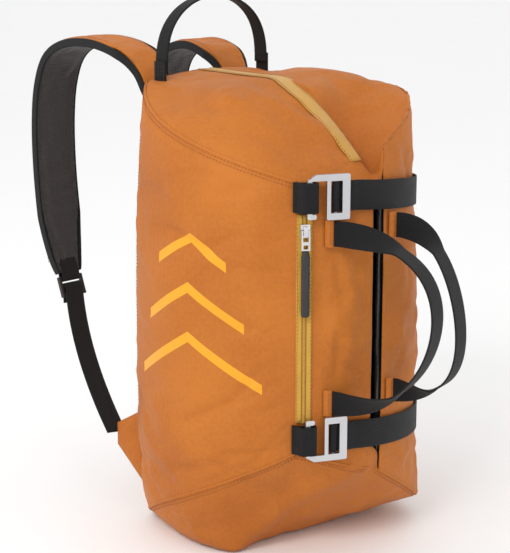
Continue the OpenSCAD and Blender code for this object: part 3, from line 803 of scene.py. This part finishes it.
# ---- Top tape ----
# A yellow woven tape over the seam down the middle of the top, sewn at both edges.

tape_look = Look("yellow_tape", Sheen_Weight=0.15)
across, lengthways = tape_look.woven()
tape_rib = tape_look.ridges(lengthways, 0.0009)
tape_shade = tape_look.noise(30, 4.0)
tape_yellow = tape_look.finish(
    tape_look.mix(tape_shade, (0.52, 0.26, 0.030, 1), (0.68, 0.37, 0.050, 1)),
    tape_shade * 0.2 + 0.4, tape_rib * 0.5 + tape_shade * 0.5, 0.0004)
tape_wide = 0.021
tape_path = []
for i in range(41):
    y = mix(back_y - 0.002, 0.026 - radius, i / 40)
    x = 0 if y > 0 else -0.014 * math.sin(math.pi / 2 * min(1, y / (0.015 - radius / 2)))
    a = math.degrees(math.atan2(x, -y))
    t = 1 - math.hypot(x, y) / drum_radius(a, rim_top(a))
    tape_path.append(top_point(a, max(0, t)))
tape_stations, tape_rows = [], [[], []]
for p in even(tape_path, 0.006):
    spot, normal = on_shell(p, 0.0009)
    tape_stations.append((spot, X))
    for row, off in zip(tape_rows, (-0.0085, 0.0085)):
        row.append(on_shell(p + X * off, 0.0016)[0])
tape = band("top_tape", tape_stations, tape_wide, 0.0009, tape_yellow, pitch=0.004, cells=8)
for v in tape.data.vertices:
    spot, normal = on_shell(v.co)
    lift = (v.co - spot).dot(normal)
    if lift < 0.0003 or lift > 0.0012:
        v.co = spot + normal * clamp(lift, 0.0003, 0.0012)
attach(tape, "bag")
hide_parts("top_seam_tape")
tape_thread = stitches("top_tape_thread", tape_rows, orange_thread)
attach(tape_thread, "bag")


# ---- Cross straps and hooks ----
# Each strap is 30 mm nylon webbing, sewn round the low bar of a flat aluminium
# hook, laid across the mouth and sewn to the far seam. The hook's open bar sits in
# a loop of the same webbing that comes out of the near seam.

web_look = Look("black_webbing", Sheen_Weight=0.03, Specular_IOR_Level=0.25)
across, lengthways = web_look.woven()
rib = web_look.ridges(lengthways, 0.0013)
warp = web_look.ridges(across, 0.0016, 0.7)
dust = web_look.noise(50, 4.0)
web_black = web_look.finish(
    web_look.mix(rib * 0.4 + dust * 0.5, (0.0015, 0.0015, 0.002, 1), (0.0095, 0.0095, 0.010, 1)),
    dust * 0.2 + 0.5, rib * 0.7 + warp * 0.5, 0.00045)

web_wide, web_thick = 0.030, 0.0018
hook_turn = -28
hook_lift = 0.0048
hook_thick, hook_shift, frame_long = 0.004, 0.010, 0.024
core_x = hook_shift - frame_long / 2 + 0.004 + 0.006
fold_end = hook_shift + frame_long / 2 + 0.005


def by_hook(x, lift, z):
    """A place in the hook's flat plane: x along the strap, lift out from the drum."""
    a = math.radians(hook_turn)
    return around(hook_turn) * (radius + lift) + Vector((math.cos(a), math.sin(a), 0)) * x + Z * z


metal_look = Look("satin_aluminium", Metallic=1.0)
grain = metal_look.noise(18, 5.0)
scratch = metal_look.noise(400, 2.0)
# Painted highlight: the sharp edges of the hooks are painted lighter, as if they caught the light. The rest
# of the colour is random grain in the metal.
edge_sharpness = metal_look.add("ShaderNodeNewGeometry", output=7)
painted_edge_highlight = edge_sharpness.maths("SUBTRACT", 0.5).maths("MULTIPLY", 6.0).maths("MAXIMUM", 0.0).maths("MINIMUM", 1.0)
silver = metal_look.finish(
    metal_look.mix(grain * 0.5 + painted_edge_highlight * 0.5, (0.50, 0.50, 0.52, 1), (0.80, 0.80, 0.82, 1)),
    grain * 0.16 + scratch * 0.12 + 0.2, scratch * 0.4 + grain * 0.6, 0.00012)


def bevelled(name, node, look, width, segments=3, angle=30):
    """A copy of a hard CAD piece with its flat faces joined and its edges rounded."""
    piece = bpy.data.objects.new(name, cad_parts[node].data.copy())
    bpy.context.scene.collection.objects.link(piece)
    piece.data.materials.clear()
    piece.data.materials.append(look)
    shape = bmesh.new()
    shape.from_mesh(piece.data)
    bmesh.ops.remove_doubles(shape, verts=shape.verts, dist=0.000005)
    bmesh.ops.dissolve_limit(shape, angle_limit=math.radians(3), verts=shape.verts, edges=shape.edges)
    shape.to_mesh(piece.data)
    shape.free()
    edge = piece.modifiers.new("edge", "BEVEL")
    edge.width, edge.segments, edge.limit_method = width, segments, "ANGLE"
    edge.angle_limit = math.radians(angle)
    settle(piece)
    for face in piece.data.polygons:
        face.use_smooth = True
    soften = piece.modifiers.new("shading", "WEIGHTED_NORMAL")
    soften.keep_sharp = True
    settle(piece)
    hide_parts(node)
    return piece


def on_strap(k, a, off, up=0.0):
    """A place over or under a cross strap's middle line."""
    z = strap_height(k, a)
    share = clamp(3 * (a - strap_first) / (strap_last - strap_first))
    r = max(drum_radius(a, z - web_wide / 2), drum_radius(a, z + web_wide / 2))
    return around(a) * (mix(radius, r, share) + off) + Z * (z + up)


for k, level in enumerate(("upper", "lower")):
    z = hook_z[k]
    low_ply, high_ply = hook_lift - 0.0013, hook_lift + 0.0029
    fold = [(0.0028, low_ply + 0.0012), (0.0027, high_ply - 0.0009), (0.0012, high_ply), (-0.0012, high_ply),
            (-0.0027, high_ply - 0.0009), (-0.0028, low_ply + 0.0012), (-0.0014, low_ply), (0.005, low_ply)]
    stations = [(by_hook(core_x + x, lift, z), Z) for x, lift in fold]
    stations.append((by_hook(fold_end - 0.002, low_ply, z), Z))
    first = hook_turn + math.degrees(math.atan((fold_end + 0.0008) / (radius + 0.002))) + 2
    for i in range(41):
        s = i / 40
        a = mix(first, strap_last, s)
        stations.append((on_strap(k, a, 0.0004 + web_thick / 2 + 0.0026 * (1 - s)), Z))
    strap = band(level + "_strap", stations, web_wide, web_thick, web_black, pitch=0.0024, cells=8)
    hook_body = level + "_hook_body"
    by_hook(fold_end - 0.003, 0.004, z)
    by_hook(fold_end + 0.07, -0.012, z)
    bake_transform(strap)
    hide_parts(level + "_cross_strap", level + "_hook_webbing")
    ends = []
    for u in (-0.011, 0.011):
        ends.append([on_strap(k, a, 0.0025, u) for a in (52, 53.5, 55, 57)])
    for a in (52, 57):
        ends.append([on_strap(k, a, 0.0025, u) for u in (-0.011, -0.004, 0.004, 0.011)])
    tack = stitches(level + "_strap_thread", ends, black_thread)
    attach(tack, "bag")

    root_x, tip_x = -0.033, -0.0108
    root = math.sqrt((radius + 0.0016) ** 2 - root_x ** 2) - radius
    loop = [(root_x, root + 0.001), (-0.030, root + 0.0042), (-0.0262, 0.0098),
            (-0.0235, 0.0112), (-0.0140, 0.0112),
            (-0.0118, 0.0104), (tip_x, 0.0070), (-0.0118, 0.0034), (-0.0140, 0.0024), (-0.0235, 0.0024),
            (-0.0270, 0.0014), (root_x, root - 0.0006)]
    piece = band(level + "_loop", [(by_hook(x, lift, z), Z) for x, lift in loop], web_wide, web_thick,
                 web_black, pitch=0.0012, cells=8)
    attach(piece, "bag")
    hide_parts(level + "_anchor_loop")

    piece = bevelled(level + "_hook_plate", level + "_hook", silver, 0.0017, 4)
    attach(piece, hook_body)


# ---- Zip ----
# A coil zip on yellow tape behind the near seam, closed by a cast slider at its top.
# The puller is polished, with a long folded webbing tab through its eye.

zip_turn = zip_seam + 2.8
zip_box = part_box("zip_tape")
zip_low, zip_high = zip_box[0][2], zip_box[1][2]
slider_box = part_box("zip_slider")
slider_z = (slider_box[0][2] + slider_box[1][2]) / 2
zip_along = Vector((math.cos(math.radians(zip_turn)), math.sin(math.radians(zip_turn)), 0))


def by_zip(x, lift, z):
    return around(zip_turn) * (radius + lift) + zip_along * x + Z * z


zip_look = Look("zip_tape_cloth", Sheen_Weight=0.1)
across, lengthways = zip_look.woven()
zip_rib = zip_look.ridges(lengthways, 0.0008) * zip_look.ridges(across, 0.0008)
zip_shade = zip_look.noise(45, 4.0)
zip_yellow = zip_look.finish(
    zip_look.mix(zip_shade, (0.56, 0.30, 0.030, 1), (0.72, 0.42, 0.055, 1)),
    zip_shade * 0.2 + 0.42, zip_rib, 0.0003)
for name, x in (("left", -0.0050), ("right", 0.0050)):
    stations = [(by_zip(x, 0.0010, z), zip_along) for z in (zip_low, mix(zip_low, zip_high, 0.5), zip_high)]
    leaf = band("zip_tape_" + name, stations, 0.0056, 0.0011, zip_yellow, pitch=0.006, cells=4)
    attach(leaf, "bag")
    if name == "left":
        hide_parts("zip_tape")
    rows = [[by_zip(x * 1.42, 0.0017, mix(zip_low, zip_high, i / 40)) for i in range(41)]]
    sewn = stitches("zip_thread_" + name, rows, orange_thread)
    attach(sewn, "bag")

coil_look = Look("nylon_coil", Specular_IOR_Level=0.5)
coil_yellow = coil_look.finish(
    coil_look.mix(coil_look.noise(200), (0.52, 0.27, 0.035, 1), (0.74, 0.42, 0.07, 1)),
    coil_look.noise(90) * 0.15 + 0.3)
points, faces = [], []
tooth, tooth_long = 0.0016, 0.0030
count = int((zip_high - zip_low) / tooth)
for i in range(count):
    z = zip_low + (i + 0.5) * tooth
    for sign in (-1, 1):
        start = len(points)
        z_side = z + sign * tooth / 4
        for x, lift in ((-0.2, 0.2), (0.25, 0.85), (0.8, 0.95), (1.0, 0.2)):
            spot = by_zip(sign * tooth_long * (x - 0.3), 0.0012 + lift * 0.0011, z_side)
            for turn in range(6):
                c, q = math.cos(turn * math.pi / 3), math.sin(turn * math.pi / 3)
                points.append(spot + Z * c * 0.00036 + around(zip_turn) * q * 0.00036)
        for j in range(3):
            for k in range(6):
                n = (k + 1) % 6
                a = start + j * 6
                quad = (a + k, a + n, a + 6 + n, a + 6 + k)
                faces.append(quad if sign > 0 else tuple(reversed(quad)))
        caps = (tuple(start + k for k in reversed(range(6))), tuple(start + 18 + k for k in range(6)))
        faces += caps if sign > 0 else tuple(tuple(reversed(c)) for c in caps)
coil = new_piece("zip_coil_teeth", points, faces, coil_yellow)
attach(coil, "bag")
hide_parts("zip_coil")

chrome_look = Look("polished_slider", Metallic=1.0)
chrome_cloud = chrome_look.noise(120, 3.0)
chrome = chrome_look.finish(
    chrome_look.mix(chrome_cloud, (0.50, 0.50, 0.52, 1), (0.82, 0.82, 0.84, 1)),
    chrome_cloud * 0.2 + 0.1, chrome_cloud, 0.00008)
slider = bevelled("slider_body", "zip_slider", chrome, 0.0006)
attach(slider, "zip_slider_body")
puller = bevelled("puller_plate", "zip_puller", chrome, 0.0004, 2)
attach(puller, "zip_puller_body")

tab_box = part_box("zip_pull_tab")
tab_look = Look("folded_tab")
across, lengthways = tab_look.woven()
grip = tab_look.ridges(lengthways, 0.0022, 0.6)
tab_black = tab_look.finish(
    tab_look.mix(tab_look.noise(70), (0.010, 0.010, 0.011, 1), (0.035, 0.035, 0.037, 1)),
    tab_look.noise(40) * 0.2 + 0.45, grip * 0.6 + tab_look.noise(200) * 0.5, 0.0005)
tab_mid = 0.0067
tab_top, tab_low = tab_box[1][2], tab_box[0][2]
tab_heights = (tab_low, mix(tab_low, tab_top, 0.5), tab_top - 0.006)
stations = [(by_zip(0, tab_mid, z), zip_along) for z in tab_heights]
pull_tab = band("pull_tab", stations, 0.0085, 0.0036, tab_black, pitch=0.002, crown=0.0003, under=0.0003,
                width=lambda t: min(1, 0.82 + 6 * t) * (1 - 0.28 * soft((t - 0.9) / 0.1)))
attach(pull_tab, "zip_puller_body")
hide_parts("zip_pull_tab")
tab_rows = [[by_zip(x, tab_mid + 0.0021, mix(tab_low + 0.004, tab_top - 0.012, i / 20)) for i in range(21)]
            for x in (-0.0027, 0.0027)]
tab_thread = stitches("pull_tab_thread", tab_rows, black_thread)
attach(tab_thread, "zip_puller_body")


# ---- Carry handles ----
# Two loops of the same webbing, each end sewn flat to a mouth panel under a folded
# patch of ripstop, and turned edge-on towards the middle where the hand takes it.

lean = Vector((0.22, -0.976, 0)).normalized()
handle_wide = web_wide * 0.85
handle_middle = sum(handle_ends) / 2
handle_half = (handle_ends[0] - handle_ends[1]) / 2
for name, reach, hang in (("left", 0.112, 0.013), ("right", 0.074, -0.024)):
    a = handle_turns[name]
    side_way = Z.cross(lean)
    root = around(a) * (radius + 0.0035)
    stations = []
    for i in range(73):
        t = math.pi * i / 72
        p = root + lean * reach * math.sin(t) ** 0.8 \
            + Z * (handle_middle + handle_half * math.cos(t) + hang * math.sin(t) ** 2)
        degrees = math.degrees(t)
        twist = math.radians(min(90, min(degrees, 180 - degrees) * 2.6))
        h = lean * reach * math.cos(t) * (1 if 2 < degrees < 178 else 1.6) \
            + Z * (2 * hang * math.sin(t) * math.cos(t) - handle_half * math.sin(t))
        h.normalize()
        stations.append((p, h.cross(side_way) * math.cos(twist) + side_way * math.sin(twist)))
    along = Vector((math.cos(math.radians(a)), math.sin(math.radians(a)), 0))
    feet = []
    for z, sign in ((handle_ends[0], 1), (handle_ends[1], -1)):
        foot = [around(a - d) * (radius + 0.0027) + Z * z for d in (2.2, 1.4, 0.7)]
        feet.append([(p, Z * sign) for p in foot])
    stations = feet[0] + stations[1:-1] + list(reversed(feet[1]))
    handle = band(name + "_carry_handle", stations, handle_wide, web_thick, web_black, pitch=0.003, cells=8)
    body = name + "_handle_body"
    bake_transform(handle)
    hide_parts(name + "_handle")
    for z, level in zip(handle_ends, ("upper", "lower")):
        patch = [(around(a - d) * (radius + lift) + Z * z, Z)
                 for d, lift in ((0.5, 0.0042), (1.0, 0.0045), (2.2, 0.0042), (3.0, 0.0022), (3.4, 0.0012))]
        tab = band(f"{name}_{level}_patch", patch, handle_wide + 0.002, 0.0015, orange, pitch=0.0012, cells=6)
        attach(tab, "bag")
        if level == "upper":
            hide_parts(name + "_handle_patches")
        rows = [[around(a - d) * (radius + 0.0053) + Z * (z + u) for u in (-0.011, -0.004, 0.004, 0.011)]
                for d in (1.0, 1.9)]
        sewn = stitches(f"{name}_{level}_patch_thread", rows, orange_thread)
        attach(sewn, "bag")


# ---- Haul loop ----
# A stiffer loop of webbing, folded in half along its length and sewn down, whose
# ends are sewn to two upright tabs in the seam at the back's top edge.

haul_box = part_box("haul_loop")
haul_tabs_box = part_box("haul_loop_tabs")
haul_y = (haul_box[0][1] + haul_box[1][1]) / 2
haul_wide = haul_box[1][1] - haul_box[0][1]
haul_z = haul_box[0][2]
haul_span = haul_box[1][0] - haul_box[0][0] - web_thick
haul_rise = haul_box[1][2] - haul_z
stations = []
for i in range(61):
    t = math.pi * i / 60
    high = haul_z + (haul_rise - 0.0012) * math.sin(t) ** 0.75
    stations.append((Vector((-haul_span / 2 * math.cos(t), haul_y, high)), Y))
haul = band("haul_handle", stations, haul_wide, web_thick + 0.0008, web_black, pitch=0.003, cells=8,
            width=lambda t: 1 - 0.2 * math.sin(math.pi * t) ** 2)
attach(haul, "haul_loop_body")
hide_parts("haul_loop")
for name, sign in (("left", -1), ("right", 1)):
    x = sign * (haul_span / 2 + web_thick + 0.0004)
    foot = Vector((x, haul_y, haul_tabs_box[0][2]))
    stations = [(foot + Z * up, Y) for up in (-0.006, 0.004, haul_tabs_box[1][2] - foot.z)]
    tab = band(name + "_haul_tab", stations, haul_wide, web_thick, web_black, pitch=0.002, cells=6)
    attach(tab, "bag")
    if sign < 0:
        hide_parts("haul_loop_tabs")
    rows = [[foot + Vector((sign * 0.0011, y, u)) for u in (0.004, 0.010, 0.017)]
            for y in (-0.006, -0.002, 0.002, 0.006)]
    sewn = stitches(name + "_haul_thread", rows, black_thread)
    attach(sewn, "bag")


# ---- Shoulder straps ----
# Foam between a ripstop cover and black spacer mesh, bound at the edge with black
# tape. The top is sewn to the back through a short web, and the lower end carries
# a ladder lock whose webbing runs down to a triangle of cloth at the bottom corner.

mesh_look = Look("spacer_mesh", Sheen_Weight=0.2)
holes = mesh_look.add("ShaderNodeTexVoronoi", {"feature": "F1"},
                      {"Vector": mesh_look.place(), "Scale": 420.0, "Randomness": 0.25})
mesh_black = mesh_look.finish(
    mesh_look.mix(holes, (0.004, 0.004, 0.0045, 1), (0.034, 0.034, 0.036, 1)),
    holes * 0.3 + 0.5, holes, 0.0007)
plastic_look = Look("moulded_plastic", Specular_IOR_Level=0.45)
plastic = plastic_look.finish(
    plastic_look.mix(plastic_look.noise(60), (0.010, 0.010, 0.011, 1), (0.024, 0.024, 0.026, 1)),
    plastic_look.noise(80) * 0.2 + 0.36, plastic_look.noise(900, 2.0), 0.00008)

pad_lines = {
    "left": [(121, 462), (129, 486), (150, 503), (192, 513), (236, 510), (266, 494),
             (281, 462), (286, 418), (284, 364), (277, 310), (268, 268), (260, 246)],
    "right": [(121, 462), (128, 482), (145, 496), (176, 505), (208, 499), (230, 482),
              (241, 452), (244, 412), (243, 364), (240, 316), (236, 276), (232, 252)]}
pad_wide, pad_thick = 0.056, 0.010
cover_thick = 0.003
lining_off, lining_thick = 0.0029 - pad_thick / 2, 0.0046
trim_samples = 110
for name, sign in (("left", -1), ("right", 1)):
    body = name + "_strap"
    line = pad_lines[name]
    n = len(line) - 1

    def pad_at(t):
        """A point on the pad's middle line, t from 0 at the top to n at the lock."""
        i = min(n - 1, int(t))
        f = t - i
        q = [line[clamp(i + k, 0, n)] for k in (-1, 0, 1, 2)]
        yz = [0.5 * ((2 * q[1][k]) + (q[2][k] - q[0][k]) * f
                     + (2 * q[0][k] - 5 * q[1][k] + 4 * q[2][k] - q[3][k]) * f * f
                     + (3 * q[1][k] - q[0][k] - 3 * q[2][k] + q[3][k]) * f ** 3) for k in (0, 1)]
        return Vector((sign * (0.060 + 0.014 * t / n), yz[0] / 1000, yz[1] / 1000 + 0.003))

    def layer_stations(off, samples=72):
        out = []
        for i in range(samples + 1):
            t = n * i / samples
            p = pad_at(t)
            ahead = (pad_at(min(n, t + 0.05)) - pad_at(max(0, t - 0.05)))
            ahead = Vector((0, ahead.y, ahead.z)).normalized()
            up = Vector((0, -ahead.z, ahead.y))
            out.append((p + up * off, X))
        return out

    taper = lambda t: min(1, 0.56 + 0.22 * min(t * n, n - t * n))

    def pad_hold(p):
        """Full hold at the pad's edges and top, letting go towards its middle."""
        return 1 - soft((0.026 - abs(p.x - sign * 0.067)) / 0.008) if p.y > 0.13 else 1.0

    layers = (
        ("pad_face", "pad_cover", "shell_cloth", pad_thick / 2 - cover_thick / 2, cover_thick, orange,
         {"crown": 0.0012}),
        ("pad_mesh", "pad_lining", "pad_lining", lining_off, lining_thick, mesh_black, {"under": 0.0009}))
    for part, node, slot, off, thick, look, swell in layers:
        piece = band(f"{name}_{part}", layer_stations(off), pad_wide - 0.002, thick, look,
                     pitch=0.004, cells=12, width=taper, **swell)
        billow(piece, pad_hold, 0.015, 2.0, 0.0016, frames=10)
        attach(piece, body)
        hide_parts(f"{name}_{node}")
    middle = [p for p, _ in layer_stations(0.0, trim_samples)]
    for edge_sign in (-1, 1):
        edge = [p + X * edge_sign * ((pad_wide / 2) * taper(i / trim_samples) - 0.0006)
                for i, p in enumerate(middle)]
        stations = []
        for i, p in enumerate(edge):
            ahead = (edge[min(i + 1, trim_samples)] - edge[max(i - 1, 0)]).normalized()
            stations.append((p, X.cross(ahead).normalized()))
        side = "in" if edge_sign * sign < 0 else "out"
        trim = band(f"{name}_pad_edge_{side}", stations, pad_thick * 0.92, 0.0022, web_black,
                    pitch=0.005, cells=4)
        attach(trim, body)
    upper = [p for p, _ in layer_stations(pad_thick / 2, trim_samples)]
    rows = [[p + X * off_x + (p - middle[i]).normalized() * 0.0008
             for i, p in enumerate(upper) if 12 < i < 104] for off_x in (-0.0205, 0.0205)]
    sewn = stitches(name + "_pad_thread", rows, orange_thread)
    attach(sewn, body)

    # The short web that holds the pad's top to the back.
    top = pad_at(0)
    anchor = [(Vector((top.x, back_y + 0.0012, 0.439)), X), (Vector((top.x, back_y + 0.0014, 0.451)), X),
              (Vector((top.x, back_y + 0.0050, 0.461)), X), (top + Vector((0, 0, 0.002)), X),
              (pad_at(0.45), X)]
    web = band(name + "_pad_anchor", anchor, web_wide, web_thick, web_black, pitch=0.002, cells=8)
    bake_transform(web)

    # Ladder lock, its loop and the adjusting webbing.
    lock = bevelled(name + "_lock", name + "_ladder_lock", plastic, 0.0009)
    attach(lock, body)
    end = pad_at(n)
    before = Vector((end.x, line[-2][0] / 1000, line[-2][1] / 1000 + 0.003))
    heading = Vector((0, end.y - before.y, end.z - before.z)).normalized()
    normal = X.cross(heading)
    adjust_wide = 0.025

    def by_lock(down, out):
        return end + heading * down + normal * out

    ply = 0.002 + 0.0004 + web_thick / 2
    ring = [(-0.018, ply * 0.5), (-0.004, ply * 0.9), (0.005, ply), (0.0075, ply),
            (0.0093, 0.0018), (0.0093, -0.0018),
            (0.0075, -ply), (0.005, -ply), (-0.004, -ply * 0.9), (-0.016, -ply * 0.5)]
    loop = band(name + "_lock_web", [(by_lock(d, o), X) for d, o in ring], adjust_wide, web_thick, web_black,
                pitch=0.0015, cells=8)
    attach(loop, body)
    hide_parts(name + "_lock_loop")
    tip = Vector((sign * 0.104, back_y + 0.036, 0.089))
    start = by_lock(0.0195, -ply)
    run = [(by_lock(0.034, ply + 0.0034), X), (by_lock(0.026, ply + 0.0012), X), (by_lock(0.0185, ply), X),
           (by_lock(0.0155, ply), X), (by_lock(0.0127, 0.0018), X), (by_lock(0.0127, -0.0018), X),
           (by_lock(0.0155, -ply), X)]
    for i in range(25):
        t = i / 24
        run.append((start.lerp(tip, t) + Y * 0.014 * 4 * t * (1 - t), X))
    strap = band(name + "_adjuster", run, adjust_wide, web_thick, web_black, pitch=0.0022, cells=8)
    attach(strap, body)
    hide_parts(name + "_adjust_webbing")

    # The triangle of doubled cloth that holds the webbing at the bottom corner.
    edge_turn = sign * (corner + 1)
    low = drum(edge_turn, 0.034, 0.0005)
    high = drum(edge_turn, 0.120, 0.0005)
    points, faces, cloth = [], [], []
    cells, tip_half = 14, 0.0125
    tip_mid = Vector((sign * 0.104, back_y + 0.0335, 0.088))
    flat_normal = (high - low).cross(tip_mid - low).normalized()
    for layer_sign in (1, -1):
        for i in range(cells + 1):
            for j in range(cells + 1):
                s, t = i / cells, j / cells
                p = low.lerp(high, t).lerp(tip_mid + Z * (2 * t - 1) * tip_half, s)
                puff = math.sin(math.pi * s) ** 0.6 * math.sin(math.pi * t) ** 0.6
                wave = noise.noise(p * 60) * 0.0012
                points.append(p + flat_normal * layer_sign * (0.0009 + 0.0022 * puff + wave * puff))
                cloth.append((s * 0.04, t * 0.08))
    grid = (cells + 1) ** 2
    for i in range(cells):
        for j in range(cells):
            a, b = i * (cells + 1) + j, (i + 1) * (cells + 1) + j
            faces.append((a, b, b + 1, a + 1))
            faces.append((grid + a, grid + a + 1, grid + b + 1, grid + b))
    rim = [i * (cells + 1) for i in range(cells + 1)]
    rim += [cells * (cells + 1) + j for j in range(1, cells + 1)]
    rim += [i * (cells + 1) + cells for i in reversed(range(cells))]
    rim += list(reversed(range(1, cells)))
    for a, b in zip(rim, rim[1:] + rim[:1]):
        faces.append((a, grid + a, grid + b, b))
    wing = new_piece(name + "_wing", points, faces, orange, cloth)
    fix = bmesh.new()
    fix.from_mesh(wing.data)
    bmesh.ops.recalc_face_normals(fix, faces=fix.faces)
    fix.to_mesh(wing.data)
    fix.free()
    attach(wing, "bag")
    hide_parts(name + "_strap_wing")


# ---- Pocket ----
# The zip pocket's bag is thin grey cloth that hangs flat inside the near side.

pocket_look = Look("pocket_nylon", Sheen_Weight=0.1)
pocket_weave = pocket_look.noise(500, 2.0)
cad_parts["zip_pocket_bag"].data.materials.clear()
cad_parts["zip_pocket_bag"].data.materials.append(pocket_look.finish(
    pocket_look.mix(pocket_look.noise(12), (0.03, 0.03, 0.033, 1), (0.06, 0.06, 0.065, 1)),
    pocket_weave * 0.2 + 0.5, pocket_weave, 0.0003))
